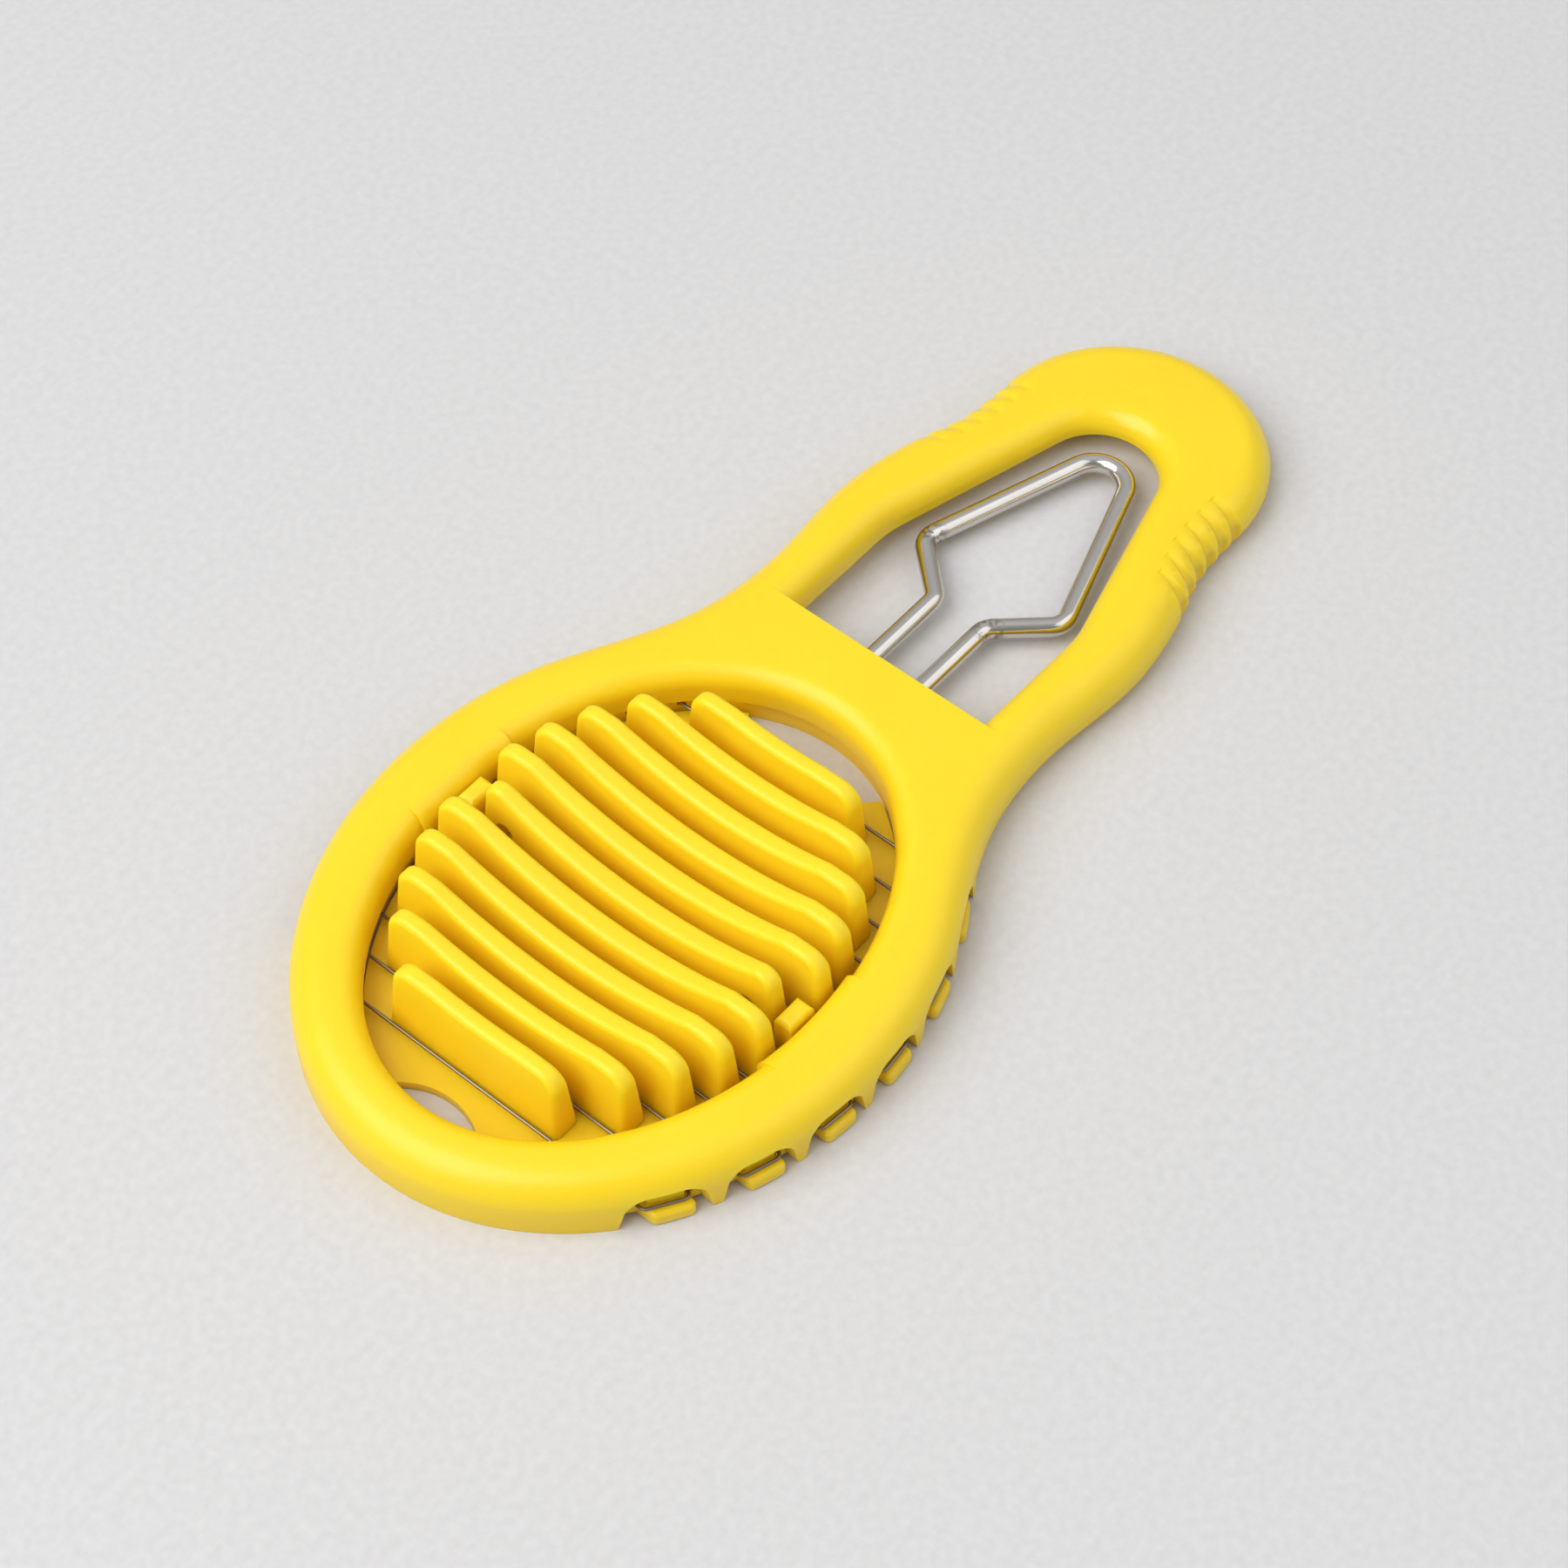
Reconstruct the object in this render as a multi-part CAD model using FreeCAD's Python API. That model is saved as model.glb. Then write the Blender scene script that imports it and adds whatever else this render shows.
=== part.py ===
import FreeCAD, Part
import math
import os

# Hand-held egg slicer, in millimetres. The origin lies on the resting plane under the middle
# of the cutting ring. X runs along the tool towards the handle, Y runs along the wires and Z is up.

# Cutting wires and the fins that stand between them
WIRE_RUNS = 12
WIRE_PITCH = 6.0
WIRE_DIAMETER = 0.5
WIRE_BEND = 0.9
WIRE_SLOT_WIDTH = 1.0
FIN_COUNT = WIRE_RUNS - 1
FIN_BASE_THICKNESS = 4.8
FIN_TOP_THICKNESS = 2.6

# Cutting ring: half lengths along X and half widths along Y
RING_OUTER_X = 50.5
RING_OUTER_Y = 42.2
RING_INNER_X = 41.5
RING_INNER_Y = 31.2
RING_TOP_ROUND = 5.0
RING_INNER_ROUND = 3.2
PAD_THICKNESS = 0.7
PAD_HALF_LENGTH = 9.0

# Heights of the frame, whose top is crowned along its length
FRAME_TOP = 9.9
CROWN_X = 15.0
CROWN_RADIUS = 2440.0
SPLIT_HEIGHT = 4.0
CARRIER_BOTTOM = 0.8
CARRIER_STEP = 0.8
HANDLE_UNDER_ROUND = 3.2
SKIRT_WALL = 1.7
SHELL_CLEARANCE = 0.15
SEAM_BEVEL = 0.3

# Handle outline, from where it leaves the ring to its round end
NECK_START_X = 26.0
NECK_X = 44.0
NECK_HALF_WIDTH = 27.8
WAIST_X = 62.0
WAIST_HALF_WIDTH = 26.0
BUMP_X = 78.0
BUMP_HALF_WIDTH = 27.2
GRIP_X = 94.0
GRIP_HALF_WIDTH = 24.2
HANDLE_END_X = 110.3
HANDLE_END_RADIUS = 22.0
HANDLE_JOINT_X = 36.0

# Opening in the handle
OPENING_START_X = 53.3
OPENING_HALF_WIDTH = 17.2
OPENING_SHOULDER_X = 76.0
OPENING_APEX_X = 138.5
OPENING_CORNER = 0.5
OPENING_SHOULDER_ROUND = 16.0
OPENING_END_RADIUS = 9.2
OPENING_TOP_ROUND = 3.6
OPENING_UNDER_ROUND = 1.6
LOWER_SET_BACK = 3.0

# Finger grooves on both sides of the handle
GROOVE_COUNT = 6
GROOVE_PITCH = 3.3
GROOVE_START_X = 92.4
GROOVE_RADIUS = 1.5
GROOVE_DEPTH = 0.9
GROOVE_FADE = 0.75

# Wire lugs and the arches they show through
LUG_HALF_WIDTH = 2.8
LUG_BOTTOM = 0.25
LUG_TOP = 2.3
LUG_PROUD = 0.4
LUG_EDGE_ROUND = 0.7
LUG_CORNER_ROUND = 0.9
WIRE_INSET = 0.75
NECK_GAP = 0.4
NECK_SIDE_GAP = 0.4
ARCH_HEIGHT = 5.9
ARCH_SHIFT = 0.8
ARCH_TOP_HALF_WIDTH = 4.3
ARCH_FOOT_HALF_WIDTH = 5.4
ARCH_TOP_ROUND = 3.0
TOOTH_ROUND = 0.4
TOOTH_LIFT = 0.05

# Crimp sleeves on the two wire ends
SLEEVE_DIAMETER = 1.6
SLEEVE_LENGTH = 3.5
SLEEVE_SET_BACK = 3.0
SLEEVE_CLEARANCE = 0.15
SLEEVE_BORE_CLEARANCE = 0.05

# Pins that locate the two halves of the frame
PIN_RADIUS = 1.5
PIN_HEIGHT = 2.4
PIN_CLEARANCE = 0.1
PIN_PLACES = [(-46.2, 0.0), (47.0, 18.0), (47.0, -18.0), (70.0, 22.6), (70.0, -22.6), (121.0, 0.0)]

# Sprung wire loop in the handle opening
CLIP_DIAMETER = 3.0
CLIP_Z = 3.0
CLIP_PIVOT_X = 46.5
CLIP_LEG_Y = 4.5
CLIP_FOOT_END_Y = 9.2
CLIP_BEND_X = 71.2
CLIP_WIDE_X = 79.0
CLIP_WIDE_Y = 13.0
CLIP_APEX_X = 118.5
CLIP_FOOT_BEND = 2.2
CLIP_BEND = 3.0
CLIP_TIP_RADIUS = 4.7
CLIP_CLEARANCE = 0.25
CLIP_SWING_UP = 5.0
CLIP_SWING_DOWN = 2.5

# Egg cradle
PLATE_THICKNESS = 1.6
PLATE_CLEARANCE = 0.6
TIP_BITE_RADIUS = 11.0
TIP_BITE_EDGE_X = 36.1
HANDLE_BITE_RADIUS = 15.5
HANDLE_BITE_EDGE_X = 32.6
FIN_TOP = 13.4
DISH_BOTTOM = 8.8
DISH_RADIUS_Y = 57.0
DISH_RADIUS_X = 110.0
FIN_ENDS_X = 34.5
FIN_ENDS_Y = 29.3
MIDDLE_FIN_HALF_LENGTH = 25.6
FIN_EDGE_ROUND = 0.95
FIN_CORNER_ROUND = 3.2
FIN_END_SLOPE = 0.7
WINDOW_Y = 21.9
WINDOW_HALF_WIDTH = 1.6
WINDOW_TOP = 7.6
PEG_WIRE_GAP = 0.35
PEG_DEPTH = 2.9
PEG_TOP = 8.5
PEG_EDGE_ROUND = 1.0
PEG_CLEARANCE = 0.45

WIRE_Z = LUG_TOP + WIRE_DIAMETER / 2 + 0.08
WIRE_HALF_SPAN = WIRE_PITCH * (WIRE_RUNS - 1) / 2
PEG_HALF_WIDTH = WIRE_PITCH / 2 - WIRE_DIAMETER / 2 - PEG_WIRE_GAP
FAR = 200.0


def vec(x, y, z=0.0):
    return FreeCAD.Vector(x, y, z)


def box(x0, x1, y0, y1, z0, z1):
    return Part.makeBox(x1 - x0, y1 - y0, z1 - z0, vec(x0, y0, z0))


def ellipse_y(half_x, half_y, x):
    return half_y * math.sqrt(1 - (x / half_x) ** 2)


def oval(half_x, half_y, z):
    """Oval about the Z axis, whichever way it is longer."""
    if half_x >= half_y:
        return Part.Ellipse(vec(0, 0, z), half_x, half_y)
    return Part.Ellipse(vec(0, half_y, z), vec(-half_x, 0, z), vec(0, 0, z))


def ellipse_prism(half_x, half_y, z0, z1):
    """Upright oval column between two heights."""
    rim = Part.Wire(oval(half_x, half_y, z0).toShape())
    return Part.Face(rim).extrude(vec(0, 0, z1 - z0))


def ring_column(inset, z0, z1):
    """Column whose side lies a given distance inside the ring's outer face."""
    return ellipse_prism(RING_OUTER_X - inset, RING_OUTER_Y - inset, z0, z1)


def rounded_path(points, radii, closed):
    """Straight runs through the points, with a tangent arc at each point that has a radius."""
    count = len(points)
    corners = []
    for index in range(count):
        point = points[index]
        radius = radii[index]
        is_end = not closed and index in (0, count - 1)
        if is_end or radius == 0:
            corners.append((point, None, point))
            continue
        back = (points[index - 1] - point).normalize()
        ahead = (points[(index + 1) % count] - point).normalize()
        half_angle = back.getAngle(ahead) / 2
        reach = radius / math.tan(half_angle)
        middle = (back + ahead).normalize()
        apex = point + middle * (radius / math.sin(half_angle) - radius)
        corners.append((point + back * reach, apex, point + ahead * reach))
    edges = []
    for index in range(count):
        start, apex, end = corners[index]
        if apex is not None:
            edges.append(Part.Arc(start, apex, end).toShape())
        if index + 1 < count or closed:
            following = corners[(index + 1) % count][0]
            edges.append(Part.makeLine(end, following))
    return Part.Wire(edges)


def swept_wire(path, diameter, start, direction):
    """Round wire along a path."""
    section = Part.Wire(Part.makeCircle(diameter / 2, start, direction))
    return path.makePipeShell([section], True, False)


def side_curve(side):
    """One side of the handle, from the ring to the round end."""
    start_y = ellipse_y(RING_OUTER_X, RING_OUTER_Y, NECK_START_X)
    slope = -(RING_OUTER_Y / RING_OUTER_X) ** 2 * NECK_START_X / start_y
    stations = [
        (NECK_START_X, start_y),
        (NECK_X, NECK_HALF_WIDTH),
        (WAIST_X, WAIST_HALF_WIDTH),
        (BUMP_X, BUMP_HALF_WIDTH),
        (GRIP_X, GRIP_HALF_WIDTH),
        (HANDLE_END_X, HANDLE_END_RADIUS),
    ]
    curve = Part.BSplineCurve()
    curve.interpolate(
        Points=[vec(x, side * y) for x, y in stations],
        InitialTangent=vec(1, side * slope),
        FinalTangent=vec(1, 0),
    )
    return curve


def outline_face(z):
    """Plan outline of the whole frame: oval ring, neck and round-ended handle."""
    ring = oval(RING_OUTER_X, RING_OUTER_Y, 0)
    start_y = ellipse_y(RING_OUTER_X, RING_OUTER_Y, NECK_START_X)
    start = ring.parameter(vec(NECK_START_X, start_y))
    end = ring.parameter(vec(NECK_START_X, -start_y))
    ring_arc = Part.ArcOfEllipse(ring, start, end if end > start else end + 2 * math.pi)
    end_arc = Part.Arc(
        vec(HANDLE_END_X, HANDLE_END_RADIUS),
        vec(HANDLE_END_X + HANDLE_END_RADIUS, 0),
        vec(HANDLE_END_X, -HANDLE_END_RADIUS),
    )
    curves = [ring_arc, side_curve(-1), end_arc, side_curve(1)]
    edges = Part.__sortEdges__([curve.toShape() for curve in curves])
    face = Part.Face(Part.Wire(edges))
    face.translate(vec(0, 0, z))
    return face


def side_half_width(x):
    """Half width of the handle at a place along it."""
    curve = side_curve(1)
    low = curve.FirstParameter
    high = curve.LastParameter
    for _ in range(60):
        middle = (low + high) / 2
        if curve.value(middle).x < x:
            low = middle
        else:
            high = middle
    return curve.value(low).y


def crown_height(x):
    """Height of the frame's crowned top at a place along it."""
    return FRAME_TOP - CROWN_RADIUS + math.sqrt(CROWN_RADIUS ** 2 - (x - CROWN_X) ** 2)


def opening_prism(start_x, grow, z0, z1):
    """Hole through the handle: straight at the crossbar, tapering to a round end."""
    taper = math.atan(OPENING_HALF_WIDTH / (OPENING_APEX_X - OPENING_SHOULDER_X))
    half_width = OPENING_HALF_WIDTH + grow
    shoulder_x = OPENING_SHOULDER_X + grow * math.tan(taper / 2)
    apex_x = OPENING_APEX_X + grow / math.sin(taper)
    points = [
        vec(start_x, -half_width, z0),
        vec(start_x, half_width, z0),
        vec(shoulder_x, half_width, z0),
        vec(apex_x, 0, z0),
        vec(shoulder_x, -half_width, z0),
    ]
    shoulder = OPENING_SHOULDER_ROUND + grow
    radii = [OPENING_CORNER, OPENING_CORNER, shoulder, OPENING_END_RADIUS + grow, shoulder]
    return Part.Face(rounded_path(points, radii, True)).extrude(vec(0, 0, z1 - z0))


def edges_at(shape, z, keep):
    """Edges that lie in one level plane and pass a test on their middle point."""
    found = []
    for edge in shape.Edges:
        bounds = edge.BoundBox
        if abs(bounds.ZMin - z) < 1e-4 and abs(bounds.ZMax - z) < 1e-4:
            if keep(edge):
                found.append(edge)
    return found


def top_edges(shape, keep):
    """Edges around the crowned top that pass a test."""
    low = crown_height(HANDLE_END_X + HANDLE_END_RADIUS) - 0.1
    found = []
    for edge in shape.Edges:
        if edge.BoundBox.ZMin > low and keep(edge):
            found.append(edge)
    return found


def is_outer(edge):
    middle = edge.valueAt((edge.FirstParameter + edge.LastParameter) / 2)
    in_ring = (middle.x / (RING_OUTER_X - 1)) ** 2 + (middle.y / (RING_OUTER_Y - 1)) ** 2 < 1
    in_opening = middle.x >= OPENING_START_X - 1 and abs(middle.y) <= OPENING_HALF_WIDTH + 0.5
    beside_end = middle.x > HANDLE_END_X + OPENING_END_RADIUS
    return beside_end or not (in_ring or in_opening)


def is_ring_inner(edge):
    bounds = edge.BoundBox
    at_tip = abs(bounds.XMin + RING_INNER_X) < 2
    return at_tip and bounds.XMax < RING_OUTER_X - 3


def is_opening(edge):
    bounds = edge.BoundBox
    in_width = max(bounds.YMax, -bounds.YMin) < OPENING_HALF_WIDTH + LOWER_SET_BACK + 0.5
    return in_width and bounds.XMax < HANDLE_END_X + OPENING_END_RADIUS


def rounded_block():
    """Whole outline as one block with a crowned top and a well-rounded upper edge."""
    axis_at = vec(CROWN_X, -FAR, FRAME_TOP - CROWN_RADIUS)
    crown = Part.makeCylinder(CROWN_RADIUS, 2 * FAR, axis_at, vec(0, 1, 0))
    body = outline_face(0).extrude(vec(0, 0, FRAME_TOP + 1)).common(crown)
    return body.makeFillet(RING_TOP_ROUND, top_edges(body, is_outer))


def holed_block():
    """The block with the handle opening, rounded over at its sides and crisp at the crossbar."""
    block = rounded_block()
    holed = block.cut(opening_prism(OPENING_START_X - RING_INNER_X / 2, 0, -1, FRAME_TOP + 1))
    holed = holed.makeFillet(OPENING_TOP_ROUND, top_edges(holed, is_opening))
    handle_zone = box(OPENING_START_X, FAR, -FAR, FAR, -1, FRAME_TOP + 1)
    ring_zone = box(-FAR, OPENING_START_X, -FAR, FAR, -1, FRAME_TOP + 1)
    return holed.common(handle_zone).fuse(block.common(ring_zone))


def ring_hole(block, inset):
    """Cuts the ring's hole, moved inwards by the inset, and rounds its upper edge."""
    hole = ellipse_prism(RING_INNER_X - inset, RING_INNER_Y - inset, -1, FRAME_TOP + 1)
    body = block.cut(hole)
    return body.makeFillet(RING_INNER_ROUND, top_edges(body, is_ring_inner))


def lower_room():
    """Room under the upper moulding for the lower one, which leaves a thin skirt around the ring."""
    under_handle = box(HANDLE_JOINT_X, FAR, -FAR, FAR, -1, SPLIT_HEIGHT)
    return ring_column(SKIRT_WALL, -1, SPLIT_HEIGHT).fuse(under_handle)


def wall_pads():
    """Two thicker stretches of the ring's inner wall, one at each side, that the pegs slide along."""
    zone = box(-PAD_HALF_LENGTH, PAD_HALF_LENGTH, -FAR, FAR, SPLIT_HEIGHT, FRAME_TOP + 1)
    half_x = (RING_OUTER_X + RING_INNER_X) / 2
    half_y = (RING_OUTER_Y + RING_INNER_Y) / 2
    inner_half = ellipse_prism(half_x, half_y, 0, FRAME_TOP + 1)
    return ring_hole(rounded_block(), PAD_THICKNESS).common(zone).common(inner_half)


def lug_places():
    """X position and side of each lug that the wire turns around."""
    places = []
    for index in range(WIRE_RUNS - 1):
        x = -WIRE_HALF_SPAN + WIRE_PITCH * (index + 0.5)
        side = -1 if index % 2 == 0 else 1
        places.append((x, side))
    return places


def arch(x, side):
    """Rounded gap in the skirt in front of one lug, a little wider towards the tip."""
    x = x - ARCH_SHIFT
    reach = WIRE_PITCH + TOOTH_LIFT
    points = [
        vec(x - reach, 0, -1),
        vec(x - reach, 0, TOOTH_LIFT),
        vec(x - ARCH_FOOT_HALF_WIDTH, 0, TOOTH_LIFT),
        vec(x - ARCH_TOP_HALF_WIDTH, 0, ARCH_HEIGHT),
        vec(x + ARCH_TOP_HALF_WIDTH, 0, ARCH_HEIGHT),
        vec(x + ARCH_FOOT_HALF_WIDTH, 0, TOOTH_LIFT),
        vec(x + reach, 0, TOOTH_LIFT),
        vec(x + reach, 0, -1),
    ]
    radii = [0, 0, TOOTH_ROUND, ARCH_TOP_ROUND, ARCH_TOP_ROUND, TOOTH_ROUND, 0, 0]
    return Part.Face(rounded_path(points, radii, True)).extrude(vec(0, side * FAR, 0))


def clip_ways():
    """Room in the crossbar for the loop's legs, its turned-out feet and its small swing."""
    radius = CLIP_DIAMETER / 2
    arm = OPENING_START_X - CLIP_PIVOT_X
    up = arm * math.sin(math.radians(CLIP_SWING_UP)) + radius + CLIP_CLEARANCE
    down = arm * math.sin(math.radians(CLIP_SWING_DOWN)) + radius + CLIP_CLEARANCE
    reach = radius + CLIP_CLEARANCE
    ways = []
    for side in (-1, 1):
        y = side * CLIP_LEG_Y
        low_z = CLIP_Z - down
        slot = box(CLIP_PIVOT_X, OPENING_START_X + 1, y - reach, y + reach, low_z, CLIP_Z + up)
        foot_start = vec(CLIP_PIVOT_X, side * (CLIP_LEG_Y - reach), CLIP_Z)
        foot_length = CLIP_FOOT_END_Y - CLIP_LEG_Y + reach + CLIP_CLEARANCE
        ways.append(slot)
        ways.append(Part.makeCylinder(reach, foot_length, foot_start, vec(0, side, 0)))
        foot_end = foot_start.y + side * foot_length
        near_y = min(foot_start.y, foot_end)
        far_y = max(foot_start.y, foot_end)
        start_x = CLIP_PIVOT_X - reach
        ways.append(box(start_x, CLIP_PIVOT_X + reach, near_y, far_y, CLIP_Z, SPLIT_HEIGHT))
        bend = CLIP_FOOT_BEND + reach
        inner = side * (CLIP_LEG_Y - reach)
        outer = side * (CLIP_LEG_Y + bend)
        low_y = min(inner, outer)
        high_y = max(inner, outer)
        end_x = CLIP_PIVOT_X + bend
        ways.append(box(CLIP_PIVOT_X, end_x, low_y, high_y, CLIP_Z - reach, CLIP_Z + reach))
    return ways


def grip_grooves():
    """Short scallops across the shoulders of the handle."""
    grooves = []
    for side in (-1, 1):
        for index in range(GROOVE_COUNT):
            x = GROOVE_START_X + GROOVE_PITCH * index
            edge_y = side_half_width(x)
            out = GROOVE_RADIUS - GROOVE_DEPTH
            upright_at = vec(x, side * (edge_y + out), CARRIER_BOTTOM)
            bend_z = crown_height(x) - RING_TOP_ROUND + GROOVE_FADE
            grooves.append(Part.makeCylinder(GROOVE_RADIUS, bend_z - CARRIER_BOTTOM, upright_at))
            bend_at = vec(x, side * (edge_y - RING_TOP_ROUND), bend_z)
            bend = Part.makeTorus(RING_TOP_ROUND + out, GROOVE_RADIUS, bend_at, vec(1, 0, 0))
            low_y = bend_at.y if side > 0 else bend_at.y - FAR
            quarter = box(x - 5, x + 5, low_y, low_y + FAR, bend_z, FRAME_TOP + 5)
            grooves.append(bend.common(quarter))
    return grooves


def pins(radius, height):
    found = []
    for x, y in PIN_PLACES:
        found.append(Part.makeCylinder(radius, height, vec(x, y, SPLIT_HEIGHT)))
    return found


def upper_frame():
    """Upper moulding: ring, crossbar and handle, with the scalloped skirt around the ring."""
    body = ring_hole(holed_block(), 0).cut(lower_room())
    keep = ring_column(SKIRT_WALL + SHELL_CLEARANCE, -2, ARCH_HEIGHT + 1)
    body = body.cut([arch(x, side).cut(keep) for x, side in lug_places()])
    body = body.cut(grip_grooves())
    body = body.cut(clip_ways())
    body = body.cut(pins(PIN_RADIUS + PIN_CLEARANCE, PIN_HEIGHT + PIN_CLEARANCE))
    return body.fuse(wall_pads())


def handle_floor():
    """Lower half of the handle and crossbar."""
    body = outline_face(0).extrude(vec(0, 0, SPLIT_HEIGHT))
    body = body.makeFillet(HANDLE_UNDER_ROUND, edges_at(body, 0, is_outer))
    body = body.makeChamfer(SEAM_BEVEL, edges_at(body, SPLIT_HEIGHT, is_outer))
    body = body.cut(opening_prism(OPENING_START_X, LOWER_SET_BACK, -1, SPLIT_HEIGHT + 1))
    body = body.makeFillet(OPENING_UNDER_ROUND, edges_at(body, 0, is_opening))
    return body.common(box(HANDLE_JOINT_X + SHELL_CLEARANCE, FAR, -FAR, FAR, -1, SPLIT_HEIGHT + 1))


def is_lip_rim(edge):
    middle = edge.valueAt((edge.FirstParameter + edge.LastParameter) / 2)
    half_x = RING_OUTER_X - SKIRT_WALL - 2.8
    half_y = RING_OUTER_Y - SKIRT_WALL - 2.8
    return (middle.x / half_x) ** 2 + (middle.y / half_y) ** 2 > 1


def lugs():
    """Lips under the wire, one at each turn, with ends parallel to the wire runs and soft corners."""
    found = []
    zone = ring_column(-LUG_PROUD, LUG_BOTTOM, LUG_TOP)
    core = ring_column(SKIRT_WALL + 3, LUG_BOTTOM - 1, LUG_TOP + 1)
    for x, side in lug_places():
        low_y = 0 if side > 0 else -FAR
        half = LUG_HALF_WIDTH
        lip = zone.common(box(x - half, x + half, low_y, low_y + FAR, -1, LUG_TOP + 1)).cut(core)
        upright = [edge for edge in lip.Edges if edge.BoundBox.ZLength > 1 and is_lip_rim(edge)]
        lip = lip.makeFillet(LUG_CORNER_ROUND, upright)
        found.append(lip.makeFillet(LUG_EDGE_ROUND, edges_at(lip, LUG_TOP, is_lip_rim)))
    return found


def lug_necks():
    """Short posts above the lips that hold the wire turns out."""
    found = []
    zone = ring_column(WIRE_INSET + WIRE_DIAMETER / 2 + NECK_GAP, LUG_TOP - 0.5, SPLIT_HEIGHT)
    core = ring_column(SKIRT_WALL + 3, 0, SPLIT_HEIGHT + 1)
    half = WIRE_PITCH / 2 - WIRE_SLOT_WIDTH / 2 - NECK_SIDE_GAP
    for x, side in lug_places():
        low_y = 0 if side > 0 else -FAR
        post = zone.common(box(x - half, x + half, low_y, low_y + FAR, 0, SPLIT_HEIGHT + 1))
        found.append(post.cut(core))
    return found


def run_places():
    return [-WIRE_HALF_SPAN + WIRE_PITCH * index for index in range(WIRE_RUNS)]


def sleeve_start(x):
    """Y of the inner end of the crimp sleeve on a wire end."""
    return ellipse_y(RING_INNER_X, RING_INNER_Y, x) + SLEEVE_SET_BACK


def lower_frame():
    """Lower moulding: the carrier ring that the wire is strung on, and the handle's underside."""
    body = ring_column(SKIRT_WALL + SHELL_CLEARANCE, CARRIER_BOTTOM, SPLIT_HEIGHT)
    body = body.fuse([handle_floor()] + lugs() + lug_necks())
    inner_x = RING_INNER_X + CARRIER_STEP
    inner_y = RING_INNER_Y + CARRIER_STEP
    body = body.cut(ellipse_prism(inner_x, inner_y, -1, SPLIT_HEIGHT + 1))
    for x in run_places():
        half = WIRE_SLOT_WIDTH / 2
        slot = box(x - half, x + half, -FAR, FAR, LUG_TOP, SPLIT_HEIGHT + 1)
        body = body.cut(slot.common(ring_column(-1, 0, SPLIT_HEIGHT + 1)))
    for x in (run_places()[0], run_places()[-1]):
        half = SLEEVE_DIAMETER / 2 + SLEEVE_CLEARANCE
        start = sleeve_start(x) - SLEEVE_CLEARANCE
        end = start + SLEEVE_LENGTH + 2 * SLEEVE_CLEARANCE
        body = body.cut(box(x - half, x + half, start, end, WIRE_Z - half, SPLIT_HEIGHT + 1))
    body = body.cut(clip_ways())
    body = body.cut(grip_grooves())
    return body.fuse(pins(PIN_RADIUS, PIN_HEIGHT))


def cutting_wire():
    """One length of wire, laced from lug to lug across the ring."""
    points = []
    runs = run_places()
    out_x = RING_OUTER_X - WIRE_INSET
    out_y = RING_OUTER_Y - WIRE_INSET
    end_y = sleeve_start(runs[0]) + SLEEVE_LENGTH
    points.append(vec(runs[0], end_y, WIRE_Z))
    for index, (_, side) in enumerate(lug_places()):
        for x in (runs[index], runs[index + 1]):
            points.append(vec(x, side * ellipse_y(out_x, out_y, x), WIRE_Z))
    points.append(vec(runs[-1], end_y, WIRE_Z))
    path = rounded_path(points, [WIRE_BEND] * len(points), False)
    return swept_wire(path, WIRE_DIAMETER, points[0], vec(0, -1, 0))


def wire_sleeves():
    """Crimped sleeves on the two ends of the wire."""
    found = []
    for x in (run_places()[0], run_places()[-1]):
        start = vec(x, sleeve_start(x), WIRE_Z)
        body = Part.makeCylinder(SLEEVE_DIAMETER / 2, SLEEVE_LENGTH, start, vec(0, 1, 0))
        bore_radius = WIRE_DIAMETER / 2 + SLEEVE_BORE_CLEARANCE
        bore = Part.makeCylinder(bore_radius, SLEEVE_LENGTH, start, vec(0, 1, 0))
        found.append(body.cut(bore))
    return found


def wire_loop():
    """Bent spring wire: two legs from the crossbar that open into an arrow-shaped loop."""
    half = [
        vec(CLIP_PIVOT_X, CLIP_FOOT_END_Y, CLIP_Z),
        vec(CLIP_PIVOT_X, CLIP_LEG_Y, CLIP_Z),
        vec(CLIP_BEND_X, CLIP_LEG_Y, CLIP_Z),
        vec(CLIP_WIDE_X, CLIP_WIDE_Y, CLIP_Z),
    ]
    tip = vec(CLIP_APEX_X, 0, CLIP_Z)
    mirrored = [vec(point.x, -point.y, point.z) for point in reversed(half)]
    half_radii = [0, CLIP_FOOT_BEND, CLIP_BEND, CLIP_BEND]
    radii = half_radii + [CLIP_TIP_RADIUS] + half_radii[::-1]
    path = rounded_path(half + [tip] + mirrored, radii, False)
    return swept_wire(path, CLIP_DIAMETER, half[0], vec(0, -1, 0))


def fin_profile(x, half_length):
    """Side view of one fin: leaning ends, round corners and a hollow top that the egg lies in."""
    low = DISH_BOTTOM + x * x / (2 * DISH_RADIUS_X)
    crease = math.sqrt(2 * DISH_RADIUS_Y * (FIN_TOP - low))
    corner = min(FIN_CORNER_ROUND, half_length - crease - 0.3)
    left = x - FIN_BASE_THICKNESS / 2
    foot = half_length + FIN_END_SLOPE
    corners = [
        vec(left, crease, FIN_TOP),
        vec(left, half_length, FIN_TOP),
        vec(left, foot, 0),
        vec(left, -foot, 0),
        vec(left, -half_length, FIN_TOP),
        vec(left, -crease, FIN_TOP),
    ]
    path = rounded_path(corners, [0, corner, 0, 0, corner, 0], False)
    dish = Part.Arc(corners[-1], vec(left, 0, low), corners[0])
    return Part.Face(Part.Wire(path.Edges + [dish.toShape()]))


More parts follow.
